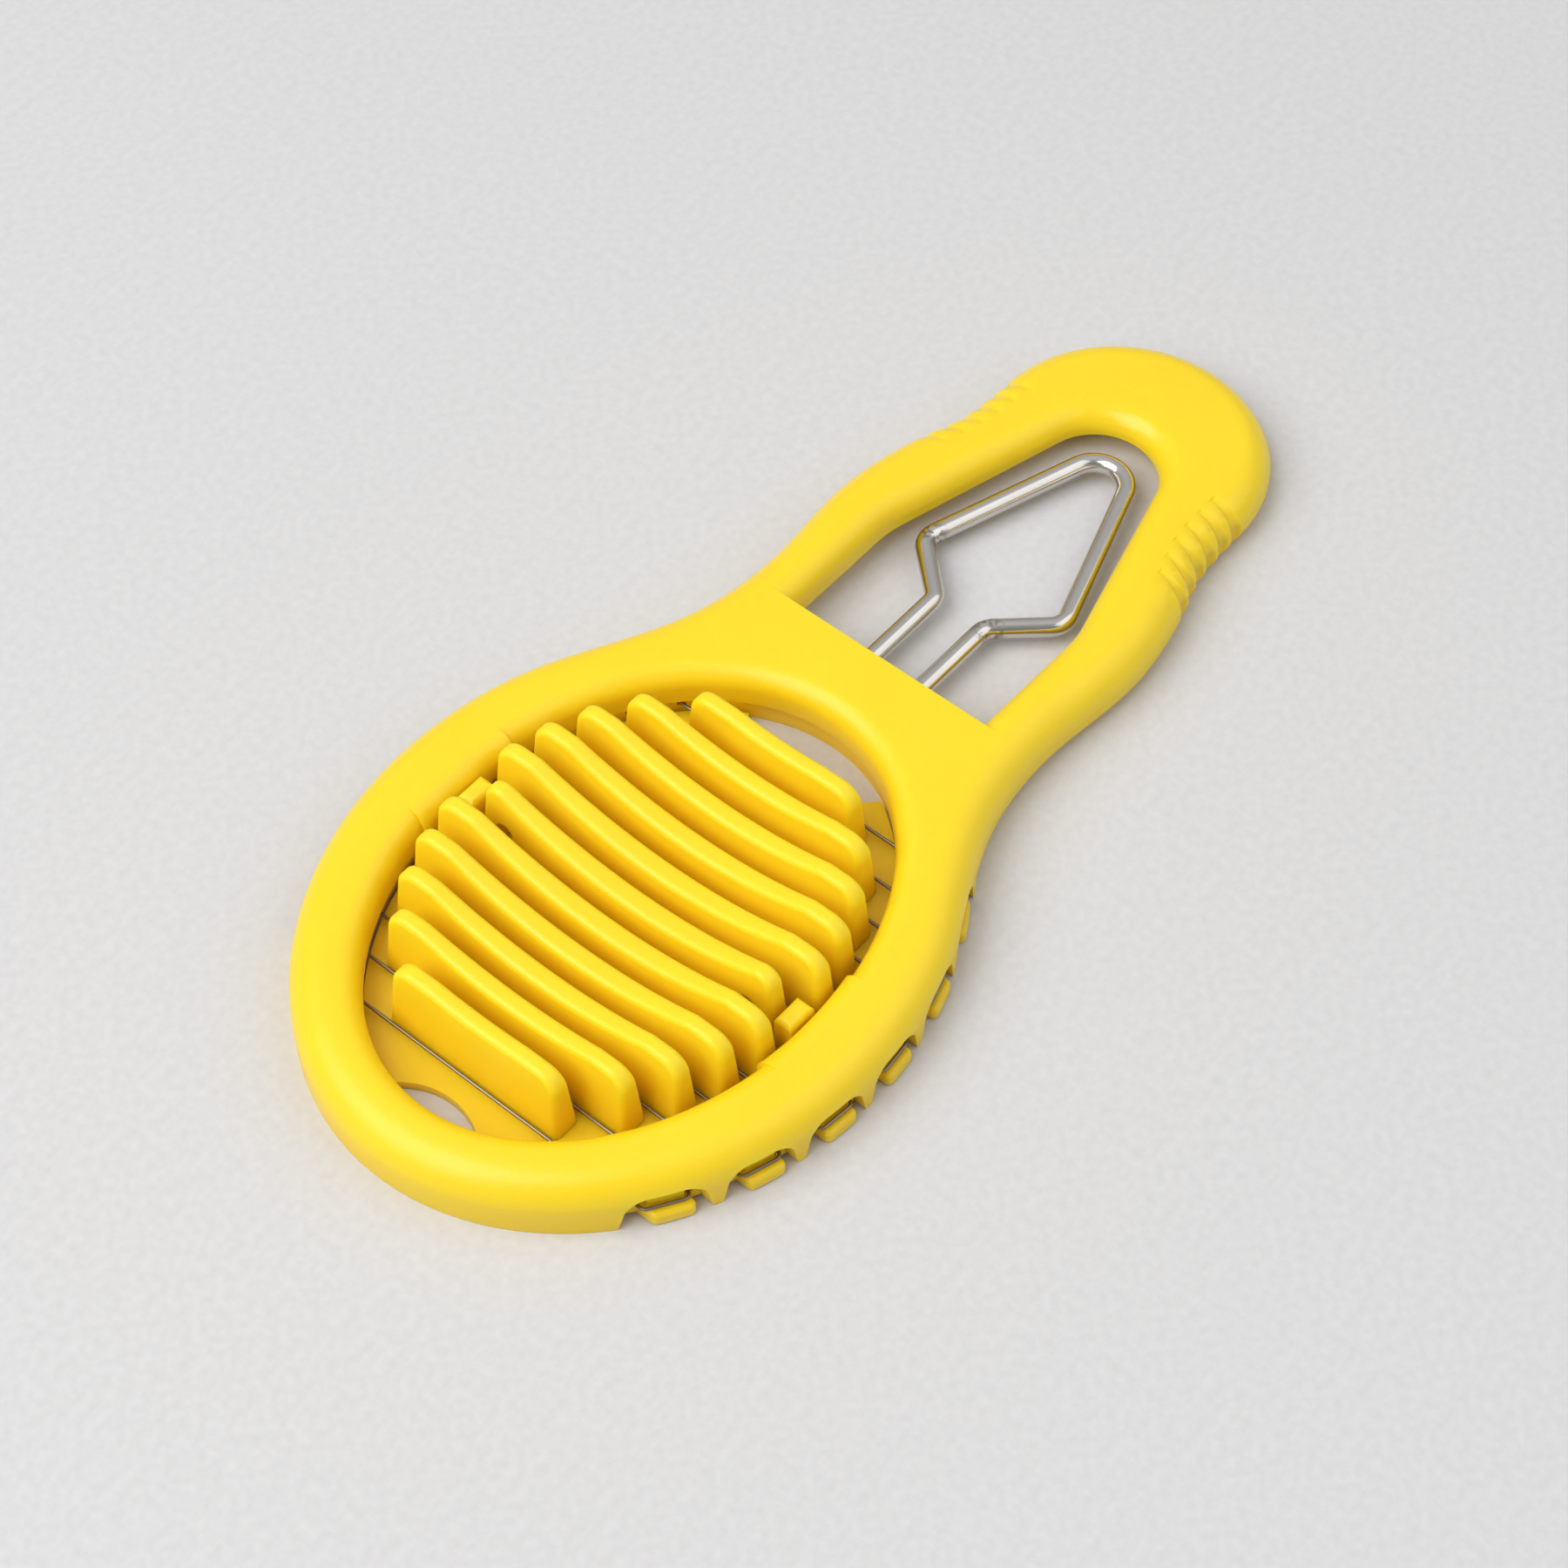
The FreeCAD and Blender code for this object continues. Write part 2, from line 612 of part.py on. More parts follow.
def fin_taper(x):
    """End view of one fin: thick at the base and thin at the top."""
    base = FIN_BASE_THICKNESS / 2
    top = FIN_TOP_THICKNESS / 2
    corners = [
        vec(x - base, -FAR, 0),
        vec(x + base, -FAR, 0),
        vec(x + top, -FAR, FIN_TOP),
        vec(x - top, -FAR, FIN_TOP),
    ]
    face = Part.Face(rounded_path(corners, [0, 0, 0, 0], True))
    return face.extrude(vec(0, 2 * FAR, 0))


def fin(x, half_length):
    """One fin, with its upper and end edges eased."""
    body = fin_profile(x, half_length).extrude(vec(FIN_BASE_THICKNESS, 0, 0)).common(fin_taper(x))
    rims = []
    for edge in body.Edges:
        bounds = edge.BoundBox
        across = bounds.YLength < 1e-4 and bounds.ZLength < 1e-4
        if not across and bounds.ZMax > 0.5:
            rims.append(edge)
    return body.makeFillet(FIN_EDGE_ROUND, rims)


def window(side):
    """Arched gap that frees the sprung end of the middle fin."""
    foot = box(-FAR, FAR, side * WINDOW_Y - WINDOW_HALF_WIDTH, side * WINDOW_Y + WINDOW_HALF_WIDTH,
               PLATE_THICKNESS, WINDOW_TOP - WINDOW_HALF_WIDTH)
    centre = vec(-FAR, side * WINDOW_Y, WINDOW_TOP - WINDOW_HALF_WIDTH)
    return foot.fuse(Part.makeCylinder(WINDOW_HALF_WIDTH, 2 * FAR, centre, vec(1, 0, 0)))


def peg(side):
    """Upright peg that slides along the pad inside the ring."""
    outer = RING_INNER_Y - PAD_THICKNESS - PEG_CLEARANCE
    low_y = outer - PEG_DEPTH if side > 0 else -outer
    body = box(-PEG_HALF_WIDTH, PEG_HALF_WIDTH, low_y, low_y + PEG_DEPTH, 0, PEG_TOP)
    rims = [edge for edge in body.Edges if edge.BoundBox.ZMin > 1]
    return body.makeFillet(PEG_EDGE_ROUND, rims)


def plate():
    """Flat base with a round bite at each end."""
    half_x = RING_INNER_X + CARRIER_STEP - PLATE_CLEARANCE
    half_y = RING_INNER_Y + CARRIER_STEP - PLATE_CLEARANCE
    body = ellipse_prism(half_x, half_y, 0, PLATE_THICKNESS)
    bites = [(TIP_BITE_EDGE_X, TIP_BITE_RADIUS, -1), (HANDLE_BITE_EDGE_X, HANDLE_BITE_RADIUS, 1)]
    for edge_x, radius, side in bites:
        centre = vec(side * (edge_x + radius), 0, -1)
        body = body.cut(Part.makeCylinder(radius, PLATE_THICKNESS + 2, centre))
    return body


def cradle_base():
    """Base plate of the cradle with the two pegs."""
    return plate().fuse([peg(-1), peg(1)])


def cradle_fins():
    """Fins of the cradle, which stand on the base plate and are one moulding with it."""
    above = box(-FAR, FAR, -FAR, FAR, PLATE_THICKNESS, FAR)
    fins = []
    for index in range(FIN_COUNT):
        x = WIRE_PITCH * (index - (FIN_COUNT - 1) / 2)
        if x == 0:
            made = fin(x, MIDDLE_FIN_HALF_LENGTH).cut([window(-1), window(1)])
        else:
            made = fin(x, ellipse_y(FIN_ENDS_X, FIN_ENDS_Y, x))
        fins.append(made.common(above))
    return fins


NODES = {
    "upper_frame": upper_frame,
    "lower_frame": lower_frame,
    "cutting_wire": cutting_wire,
    "wire_sleeves": wire_sleeves,
    "wire_loop": wire_loop,
    "cradle_base": cradle_base,
    "cradle_fins": cradle_fins,
}

os.makedirs("parts", exist_ok=True)
for name, make in NODES.items():
    made = make()
    shape = Part.makeCompound(made) if isinstance(made, list) else made
    print(name, "solids", len(shape.Solids), "valid", shape.isValid(), "volume", round(shape.Volume, 1))
    shape.exportStep("parts/" + name + ".step")
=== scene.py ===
"""Looks for a hand-held egg slicer: a wire-strung ring with a handle, over a finned cradle."""
import logging
import math
from dataclasses import dataclass, field
from enum import Enum

import bmesh
import bpy
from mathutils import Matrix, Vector

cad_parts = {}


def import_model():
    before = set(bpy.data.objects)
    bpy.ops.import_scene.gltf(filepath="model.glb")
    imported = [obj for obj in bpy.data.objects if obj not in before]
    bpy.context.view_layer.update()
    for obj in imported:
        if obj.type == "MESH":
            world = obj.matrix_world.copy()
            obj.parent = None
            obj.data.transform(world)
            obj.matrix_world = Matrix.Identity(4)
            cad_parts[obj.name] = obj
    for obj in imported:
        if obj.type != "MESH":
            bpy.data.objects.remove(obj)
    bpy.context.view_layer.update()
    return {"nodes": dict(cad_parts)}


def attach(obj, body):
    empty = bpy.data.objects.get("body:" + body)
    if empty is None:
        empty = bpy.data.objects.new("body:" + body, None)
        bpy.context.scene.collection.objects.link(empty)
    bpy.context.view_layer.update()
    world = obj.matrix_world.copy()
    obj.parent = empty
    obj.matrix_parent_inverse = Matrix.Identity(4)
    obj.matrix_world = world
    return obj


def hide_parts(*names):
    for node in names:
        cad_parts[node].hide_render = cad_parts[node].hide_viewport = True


LOG = logging.getLogger("egg_slicer")
Colour = tuple[float, float, float, float]
Point = tuple[float, float, float]
Span = tuple[float, float]
Tree = bpy.types.NodeTree
Node = bpy.types.Node
Socket = bpy.types.NodeSocket
Value = Socket | float | Point | Colour

# Distance between neighbouring nodes in the shader editor
NODE_SPACING = 220
# Vertices of a CAD mesh that lie closer than this are merged, in metres
MERGE_WITHIN = 1e-6
# Middle values of a noise pattern, which a finish spreads over its roughness
TONE_SPAN: Span = (0.3, 0.7)
# Results of a range that fades a mask in or out
FADE_IN: Span = (0.0, 1.0)
FADE_OUT: Span = (1.0, 0.0)
WHITE: Colour = (1.0, 1.0, 1.0, 1.0)


class Slot(Enum):
    """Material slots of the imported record."""

    PLASTIC = "yellow_plastic"
    STEEL = "bright_steel"


class Body(Enum):
    """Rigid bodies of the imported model."""

    CRADLE = "cradle"
    FRAME = "frame"
    LOOP = "loop"


class Lay(Enum):
    """Direction in which drawn wire shows its fine lines, as stretch of the pattern."""

    ALONG_Y = (1.0, 0.03, 1.0)
    EVEN = (1.0, 1.0, 1.0)


def feed(tree: Tree, node: Node, inputs: dict[str | int, Value]) -> Node:
    """Gives a node its inputs: constants on their sockets, and links from other nodes.

    Args:
        tree: The node tree that holds it.
        node: The node.
        inputs: Constants or sockets, by input name or number.

    Returns:
        The same node.
    """
    for key, value in inputs.items():
        if isinstance(value, Socket):
            tree.links.new(value, node.inputs[key])
        else:
            node.inputs[key].default_value = value
    return node


def place_node(tree: Tree, kind: str, across: float, down: float) -> Node:
    """Adds one shader node.

    Args:
        tree: The node tree that takes it.
        kind: Blender's name of the node type.
        across: Column in the editor.
        down: Row in the editor.

    Returns:
        The new node.
    """
    node = tree.nodes.new(kind)
    node.location = (across * NODE_SPACING, -down * NODE_SPACING)
    return node


def place_noise(tree: Tree, inputs: dict[str, Value], across: float, down: float) -> Socket:
    """Adds a noise pattern.

    Args:
        tree: The node tree that takes it.
        inputs: Inputs of the noise node by name.
        across: Column in the editor.
        down: Row in the editor.

    Returns:
        The pattern's value.
    """
    node = place_node(tree, "ShaderNodeTexNoise", across, down)
    return feed(tree, node, inputs).outputs["Fac"]


def place_range(
    tree: Tree,
    value: Socket,
    source: tuple[float, float | Socket],
    result: Span,
    across: float,
    down: float,
) -> Socket:
    """Adds a clamped range.

    Args:
        tree: The node tree that takes it.
        value: What comes in.
        source: Lowest and highest value that come in.
        result: Values that they become.
        across: Column in the editor.
        down: Row in the editor.

    Returns:
        The value within the new range.
    """
    node = place_node(tree, "ShaderNodeMapRange", across, down)
    inputs = {"Value": value, "From Min": source[0], "From Max": source[1]}
    inputs |= {"To Min": result[0], "To Max": result[1]}
    return feed(tree, node, inputs).outputs["Result"]


def place_math(
    tree: Tree, operation: str, terms: tuple[float | Socket, ...], across: float, down: float
) -> Socket:
    """Adds a calculation.

    Args:
        tree: The node tree that takes it.
        operation: Blender's name of the operation.
        terms: What goes in, in order.
        across: Column in the editor.
        down: Row in the editor.

    Returns:
        The result.
    """
    node = place_node(tree, "ShaderNodeMath", across, down)
    node.operation = operation
    return feed(tree, node, dict(enumerate(terms))).outputs["Value"]


def place_vector_math(
    tree: Tree, operation: str, terms: tuple[Socket, Point], across: float, down: float
) -> Socket:
    """Adds a calculation on two vectors that gives a number.

    Args:
        tree: The node tree that takes it.
        operation: Blender's name of the operation.
        terms: What goes in, in order.
        across: Column in the editor.
        down: Row in the editor.

    Returns:
        The number.
    """
    node = place_node(tree, "ShaderNodeVectorMath", across, down)
    node.operation = operation
    return feed(tree, node, dict(enumerate(terms))).outputs["Value"]


def place_mix(
    tree: Tree, factor: Socket, first: Colour | Socket, second: Colour, across: float, down: float
) -> Socket:
    """Adds a mix of two colours.

    Args:
        tree: The node tree that takes it.
        factor: Share of the second colour.
        first: Colour at factor 0.
        second: Colour at factor 1.
        across: Column in the editor.
        down: Row in the editor.

    Returns:
        The mixed colour.
    """
    node = place_node(tree, "ShaderNodeMix", across, down)
    node.data_type = "RGBA"
    return feed(tree, node, {"Factor": factor, "A": first, "B": second}).outputs["Result"]


def place_bump(
    tree: Tree, height: Socket, strength: float, distance: float, across: float, down: float
) -> Socket:
    """Adds a bump.

    Args:
        tree: The node tree that takes it.
        height: The height pattern.
        strength: Share of the bump that shows.
        distance: Depth of the pattern in metres.
        across: Column in the editor.
        down: Row in the editor.

    Returns:
        The bumped normal.
    """
    node = place_node(tree, "ShaderNodeBump", across, down)
    inputs = {"Height": height, "Strength": strength, "Distance": distance}
    return feed(tree, node, inputs).outputs["Normal"]


def place_effect(
    tree: Tree, group: Tree, inputs: dict[str, Value], across: float, down: float
) -> Node:
    """Adds one use of a shared effect.

    Args:
        tree: The node tree that takes it.
        group: The effect's node group.
        inputs: Inputs of the group by name.
        across: Column in the editor.
        down: Row in the editor.

    Returns:
        The group node.
    """
    node = place_node(tree, "ShaderNodeGroup", across, down)
    node.node_tree = group
    return feed(tree, node, inputs)


def new_group(
    name: str, inputs: dict[str, float], outputs: list[str]
) -> tuple[Tree, dict[str, Socket], Node]:
    """Makes an empty shader node group with plain number sockets and a position input.

    Args:
        name: Name of the group.
        inputs: Number inputs and their starting values.
        outputs: Names of the number outputs.

    Returns:
        The group, what comes in by name, and the node that takes what goes out.
    """
    group = bpy.data.node_groups.new(name, "ShaderNodeTree")
    group.interface.new_socket("Position", in_out="INPUT", socket_type="NodeSocketVector")
    for title, value in inputs.items():
        socket = group.interface.new_socket(title, in_out="INPUT", socket_type="NodeSocketFloat")
        socket.default_value = value
    for title in outputs:
        group.interface.new_socket(title, in_out="OUTPUT", socket_type="NodeSocketFloat")
    start = place_node(group, "NodeGroupInput", -2, 0)
    end = place_node(group, "NodeGroupOutput", 5, 0)
    return group, {title: start.outputs[title] for title in ("Position", *inputs)}, end


def new_material(name: str) -> tuple[bpy.types.Material, Node]:
    """Makes a node material.

    Args:
        name: Name of the material.

    Returns:
        The material and its shader.
    """
    made = bpy.data.materials.new(name)
    made.use_nodes = True
    return made, made.node_tree.nodes["Principled BSDF"]


@dataclass
class SurfaceEffects:
    """Shared effects, each built once as a node group."""

    fine_detail: float = 3.0
    broad_detail: float = 2.0
    scuff_turn: Point = (0.3, 0.5, 0.7)
    scuff_stretch: Point = (1.0, 9.0, 4.0)
    scuff_detail: float = 4.0
    scuff_waver: float = 0.6
    scuff_edge: Span = (0.66, 0.74)
    patch_scale: float = 45.0
    patch_edge: Span = (0.45, 0.65)
    rub_scale: float = 320.0
    rub_detail: float = 5.0
    rub_edge: Span = (0.38, 0.62)
    rub_strength: Span = (0.15, 1.0)
    grain: Tree = field(init=False)
    scuffs: Tree = field(init=False)
    rub: Tree = field(init=False)

    def __post_init__(self) -> None:
        """Builds the groups."""
        self.grain = self.make_grain()
        self.scuffs = self.make_scuffs()
        self.rub = self.make_rub()

    def make_grain(self) -> Tree:
        """Fine moulded or drawn grain over a broad, slow unevenness.

        Returns:
            A group that puts out a height and a slow tone mask.
        """
        group, start, end = new_group(
            "surface_grain", {"Fine": 2600.0, "Broad": 55.0}, ["Height", "Tone"]
        )
        fine = {"Vector": start["Position"], "Scale": start["Fine"], "Detail": self.fine_detail}
        broad = {"Vector": start["Position"], "Scale": start["Broad"], "Detail": self.broad_detail}
        height = place_noise(group, fine, 0, 0)
        tone = place_noise(group, broad, 0, 1)
        feed(group, end, {"Height": height, "Tone": tone})
        return group

    def make_scuffs(self) -> Tree:
        """Sparse hair-fine scuffs from handling.

        Returns:
            A group that puts out a mask, 1 on a scuff.
        """
        group, start, end = new_group("handling_scuffs", {"Scale": 240.0, "Amount": 0.5}, ["Mask"])
        stretch = place_node(group, "ShaderNodeMapping", -1, 0)
        turned = {"Rotation": self.scuff_turn, "Scale": self.scuff_stretch}
        feed(group, stretch, {"Vector": start["Position"], **turned})
        hairs = {"Vector": stretch.outputs["Vector"], "Scale": start["Scale"]}
        hairs |= {"Detail": self.scuff_detail, "Distortion": self.scuff_waver}
        patches = {"Vector": start["Position"], "Scale": self.patch_scale}
        lines = place_noise(group, hairs, 0, 0)
        areas = place_noise(group, patches, 0, 1)
        sharp = place_range(group, lines, self.scuff_edge, FADE_IN, 1, 0)
        where = place_range(group, areas, self.patch_edge, FADE_IN, 1, 1)
        both = place_math(group, "MULTIPLY", (sharp, where), 2, 0)
        feed(group, end, {"Mask": place_math(group, "MULTIPLY", (both, start["Amount"]), 3, 0)})
        return group

    def make_rub(self) -> Tree:
        """Dull rubbing low on the tool, where it slides on a table.

        Returns:
            A group that puts out a mask, 1 where the surface is rubbed most.
        """
        group, start, end = new_group("table_rub", {"Reach": 0.0011, "Amount": 0.7}, ["Mask"])
        split = place_node(group, "ShaderNodeSeparateXYZ", -1, 0)
        feed(group, split, {"Vector": start["Position"]})
        low = place_range(group, split.outputs["Z"], (0.0, start["Reach"]), FADE_OUT, 1, 0)
        rubbed = {"Vector": start["Position"], "Scale": self.rub_scale, "Detail": self.rub_detail}
        pattern = place_noise(group, rubbed, 0, 1)
        broken = place_range(group, pattern, self.rub_edge, self.rub_strength, 1, 1)
        both = place_math(group, "MULTIPLY", (low, broken), 2, 0)
        feed(group, end, {"Mask": place_math(group, "MULTIPLY", (both, start["Amount"]), 3, 0)})
        return group


@dataclass(frozen=True)
class MouldedFinish:
    """Satin moulded plastic with grain, slow colour drift, painted shade low down, scuffs and a
    hand-polished grip.
    """

    name: str
    colour: Colour
    # Painted shade: a darker, more orange colour mixed in towards the bottom of the moulding,
    # fading out between the two heights below.
    colour_drift: Colour
    colour_painted_shade: Colour
    painted_shade_below: float
    painted_shade_fades_at: float
    roughness: Span
    grain_size: float
    grain_depth: float
    scuff_amount: float
    glow: float
    glow_reach: float
    colour_rubbed: Colour = (0.93, 0.64, 0.13, 1.0)
    glow_tint: Point = (1.0, 0.55, 0.10)
    refraction: float = 1.49
    relief: float = 0.32
    scuff_dulling: float = 0.22
    scuff_height: float = -0.8
    rub_dulling: float = 0.30
    grip: Span = (0.082, 0.118)
    grip_dulling: float = -0.06

    def material(self, effects: SurfaceEffects) -> bpy.types.Material:
        """Builds the node material.

        Args:
            effects: The shared node groups.

        Returns:
            The finished material.
        """
        made, shader = new_material(self.name)
        tree = made.node_tree
        place = place_node(tree, "ShaderNodeTexCoord", -7, 0).outputs["Object"]
        split = place_node(tree, "ShaderNodeSeparateXYZ", -6, 3)
        feed(tree, split, {"Vector": place})
        graining = {"Position": place, "Fine": 1.0 / self.grain_size}
        scuffing = {"Position": place, "Amount": self.scuff_amount}
        grain = place_effect(tree, effects.grain, graining, -6, 0)
        scuffed = place_effect(tree, effects.scuffs, scuffing, -6, 1).outputs["Mask"]
        rubbed = place_effect(tree, effects.rub, {"Position": place}, -6, 2).outputs["Mask"]
        tone = grain.outputs["Tone"]

        # Painted shade: the colour turns darker and more orange towards the bottom of the
        # moulding.
        painted_shade_span = (self.painted_shade_below, self.painted_shade_fades_at)
        depth = place_range(tree, split.outputs["Z"], painted_shade_span, FADE_OUT, -5, 3)
        colour = place_mix(tree, tone, self.colour, self.colour_drift, -4, 0)
        colour = place_mix(tree, depth, colour, self.colour_painted_shade, -3, 0)
        colour = place_mix(tree, rubbed, colour, self.colour_rubbed, -2, 0)

        dull = place_range(tree, tone, TONE_SPAN, self.roughness, -4, 1)
        held = place_range(tree, split.outputs["X"], self.grip, (0.0, self.grip_dulling), -4, 3)
        dull = place_math(tree, "ADD", (dull, held), -3, 1)
        dull = place_math(tree, "MULTIPLY_ADD", (scuffed, self.scuff_dulling, dull), -2, 1)
        dull = place_math(tree, "MULTIPLY_ADD", (rubbed, self.rub_dulling, dull), -1, 1)

        carving = (scuffed, self.scuff_height, grain.outputs["Height"])
        carved = place_math(tree, "MULTIPLY_ADD", carving, -3, 2)
        normal = place_bump(tree, carved, self.relief, self.grain_depth, -1, 2)
        feed(tree, shader, {
            "Base Color": colour,
            "Roughness": dull,
            "Normal": normal,
            "IOR": self.refraction,
            "Subsurface Weight": self.glow,
            "Subsurface Scale": self.glow_reach,
            "Subsurface Radius": self.glow_tint,
        })
        return made


@dataclass(frozen=True)
class BendMarks:
    """Marks that the bending tool left on a wire at some of its bends."""

    bends: tuple[Point, ...]
    colour: Colour
    reach: Span = (0.00165, 0.0030)
    nick_scale: float = 900.0
    nick_detail: float = 3.0
    nick_edge: Span = (0.46, 0.56)
    dulling: float = 0.25
    height: float = -2.5

    def mask(self, tree: Tree, place: Socket) -> Socket:
        """Adds a mask of the marks.

        Args:
            tree: The material's node tree.
            place: The place on the object.

        Returns:
            The mask, 1 on a mark.
        """
        nicks = {"Vector": place, "Scale": self.nick_scale, "Detail": self.nick_detail}
        pattern = place_noise(tree, nicks, -6, 5)
        mark = place_range(tree, pattern, self.nick_edge, FADE_IN, -5, 5)
        bent = 0.0
        for row, bend in enumerate(self.bends, start=6):
            away = place_vector_math(tree, "DISTANCE", (place, bend), -5, row)
            near = place_range(tree, away, self.reach, FADE_OUT, -4, row)
            bent = place_math(tree, "MAXIMUM", (bent, near), -3, row)
        return place_math(tree, "MULTIPLY", (bent, mark), -2, 6)


@dataclass(frozen=True)
class WireFinish:
    """Bright drawn steel with fine lines, light scuffs and tool marks at its bends."""

    name: str
    colour: Colour
    colour_drift: Colour
    roughness: Span
    grain_size: float
    grain_depth: float
    scuff_amount: float
    lay: Lay
    marks: BendMarks | None = None
    tone_scale: float = 160.0
    scuff_scale: float = 420.0
    scuff_dulling: float = 0.20
    relief: float = 0.22

    def material(self, effects: SurfaceEffects) -> bpy.types.Material:
        """Builds the node material.

        Args:
            effects: The shared node groups.

        Returns:
            The finished material.
        """
        made, shader = new_material(self.name)
        tree = made.node_tree
        place = place_node(tree, "ShaderNodeTexCoord", -9, 0).outputs["Object"]
        turned = place_node(tree, "ShaderNodeMapping", -8, 0)
        feed(tree, turned, {"Vector": place, "Scale": self.lay.value})
        graining = {"Position": turned.outputs["Vector"], "Fine": 1.0 / self.grain_size}
        graining |= {"Broad": self.tone_scale}
        scuffing = {"Position": place, "Scale": self.scuff_scale, "Amount": self.scuff_amount}
        grain = place_effect(tree, effects.grain, graining, -7, 0)
        scuffed = place_effect(tree, effects.scuffs, scuffing, -7, 1).outputs["Mask"]
        tone, height = grain.outputs["Tone"], grain.outputs["Height"]

        colour = place_mix(tree, tone, self.colour, self.colour_drift, -4, 0)
        dull = place_range(tree, tone, TONE_SPAN, self.roughness, -4, 1)
        dull = place_math(tree, "MULTIPLY_ADD", (scuffed, self.scuff_dulling, dull), -3, 1)
        if self.marks:
            mark = self.marks.mask(tree, place)
            colour = place_mix(tree, mark, colour, self.marks.colour, -2, 0)
            dull = place_math(tree, "MULTIPLY_ADD", (mark, self.marks.dulling, dull), -2, 1)
            height = place_math(tree, "MULTIPLY_ADD", (mark, self.marks.height, height), -2, 2)
        normal = place_bump(tree, height, self.relief, self.grain_depth, -1, 2)
        feed(tree, shader, {
            "Base Color": colour,
            "Roughness": dull,
            "Normal": normal,
            "Metallic": 1.0,
        })
        return made


FRAME_YELLOW = MouldedFinish(
    name="frame_yellow",
    colour=(0.93, 0.645, 0.009, 1.0),
    colour_drift=(0.945, 0.69, 0.013, 1.0),
    # Painted shade low on the frame, fading out by 6 mm up.
    colour_painted_shade=(0.92, 0.60, 0.008, 1.0),
    painted_shade_below=0.0005,
    painted_shade_fades_at=0.006,
    roughness=(0.32, 0.43),
    grain_size=0.00042,
    grain_depth=0.00003,
    scuff_amount=0.40,
    glow=0.35,
    glow_reach=0.0026,
)
CRADLE_YELLOW = MouldedFinish(
    name="cradle_yellow",
    colour=(0.935, 0.665, 0.010, 1.0),
    colour_drift=(0.95, 0.71, 0.014, 1.0),
    # Painted shade low on the cradle, fading out by 11 mm up.
    colour_painted_shade=(0.925, 0.60, 0.006, 1.0),
    painted_shade_below=0.002,
    painted_shade_fades_at=0.011,
    roughness=(0.38, 0.48),
    grain_size=0.00036,
    grain_depth=0.000024,
    scuff_amount=0.28,
    glow=0.65,
    glow_reach=0.0034,
)
LOOP_STEEL = WireFinish(
    name="loop_steel",
    colour=(0.70, 0.675, 0.645, 1.0),
    colour_drift=(0.60, 0.575, 0.545, 1.0),
    roughness=(0.12, 0.20),
    grain_size=0.00022,
    grain_depth=0.000010,
    scuff_amount=0.6,
    lay=Lay.EVEN,
    marks=BendMarks(
        bends=((0.0708, -0.0055, 0.0032), (0.0798, 0.0122, 0.0032)),
        colour=(0.30, 0.28, 0.26, 1.0),
    ),
)
# The strung wire's colour is darkened and warmed: painted shade and a painted reflection of the
# yellow plastic round it, not the steel's own grey.
STRUNG_STEEL_PAINTED_SHADE = WireFinish(
    name="strung_steel",
    colour=(0.30, 0.265, 0.215, 1.0),
    colour_drift=(0.24, 0.21, 0.165, 1.0),
    roughness=(0.34, 0.48),
    grain_size=0.00012,
    grain_depth=0.000006,
    scuff_amount=0.5,
    lay=Lay.ALONG_Y,
)


@dataclass
class SmoothPiece:
    """One piece of the tool, shown as a smooth-shaded copy of its CAD node."""

    node: str
    body: Body
    slot: Slot
    crease: float = math.radians(32)
    shown: bpy.types.Object = field(init=False)

    def build(self, nodes: dict[str, bpy.types.Object]) -> None:
        """Merges a copy of the CAD mesh and shades it smooth between creases.

        Args:
            nodes: CAD objects by node name.
        """
        work = bmesh.new()
        work.from_mesh(nodes[self.node].data)
        bmesh.ops.remove_doubles(work, verts=work.verts, dist=MERGE_WITHIN)
        for face in work.faces:
            face.smooth = True
        for edge in work.edges:
            edge.smooth = edge.is_manifold and edge.calc_face_angle(0.0) < self.crease
        mesh = bpy.data.meshes.new(self.node + "_smooth")
        work.to_mesh(mesh)
        work.free()
        self.shown = bpy.data.objects.new(self.node + "_shown", mesh)
        bpy.context.scene.collection.objects.link(self.shown)
        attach(self.shown, self.body.value)
        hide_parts(self.node)

    def dress(self, material: bpy.types.Material) -> None:
        """Gives the piece its finish.

        Args:
            material: The finish's material.
        """
        mesh = self.shown.data
        mesh.materials.clear()
        mesh.materials.append(material)
        LOG.info("%s: %d faces, %s", self.shown.name, len(mesh.polygons), material.name)


def piece_field(node: str, body: Body, slot: Slot) -> SmoothPiece:
    """Declares one piece of a sub-assembly.

    Args:
        node: Its CAD node.
        body: The body it rides on.
        slot: Its material slot.

    Returns:
        A dataclass field that makes the piece.
    """
    return field(default_factory=lambda: SmoothPiece(node, body, slot))


@dataclass
class CuttingFrame:
    """The two-part moulded frame with the wire that is strung across its ring."""

    upper: SmoothPiece = piece_field("upper_frame", Body.FRAME, Slot.PLASTIC)
    lower: SmoothPiece = piece_field("lower_frame", Body.FRAME, Slot.PLASTIC)
    wire: SmoothPiece = piece_field("cutting_wire", Body.FRAME, Slot.STEEL)
    sleeves: SmoothPiece = piece_field("wire_sleeves", Body.FRAME, Slot.STEEL)

    def build(self, nodes: dict[str, bpy.types.Object]) -> None:
        """Builds the frame's four pieces.

        Args:
            nodes: CAD objects by node name.
        """
        for piece in (self.upper, self.lower, self.wire, self.sleeves):
            piece.build(nodes)

    def dress(self, effects: SurfaceEffects) -> None:
        """Gives the mouldings and the strung wire their finishes.

        Args:
            effects: The shared node groups.
        """
        plastic = FRAME_YELLOW.material(effects)
        # The strung wire's finish carries painted shade and a painted reflection in its colour.
        steel = STRUNG_STEEL_PAINTED_SHADE.material(effects)
        for piece in (self.upper, self.lower):
            piece.dress(plastic)
        for piece in (self.wire, self.sleeves):
            piece.dress(steel)


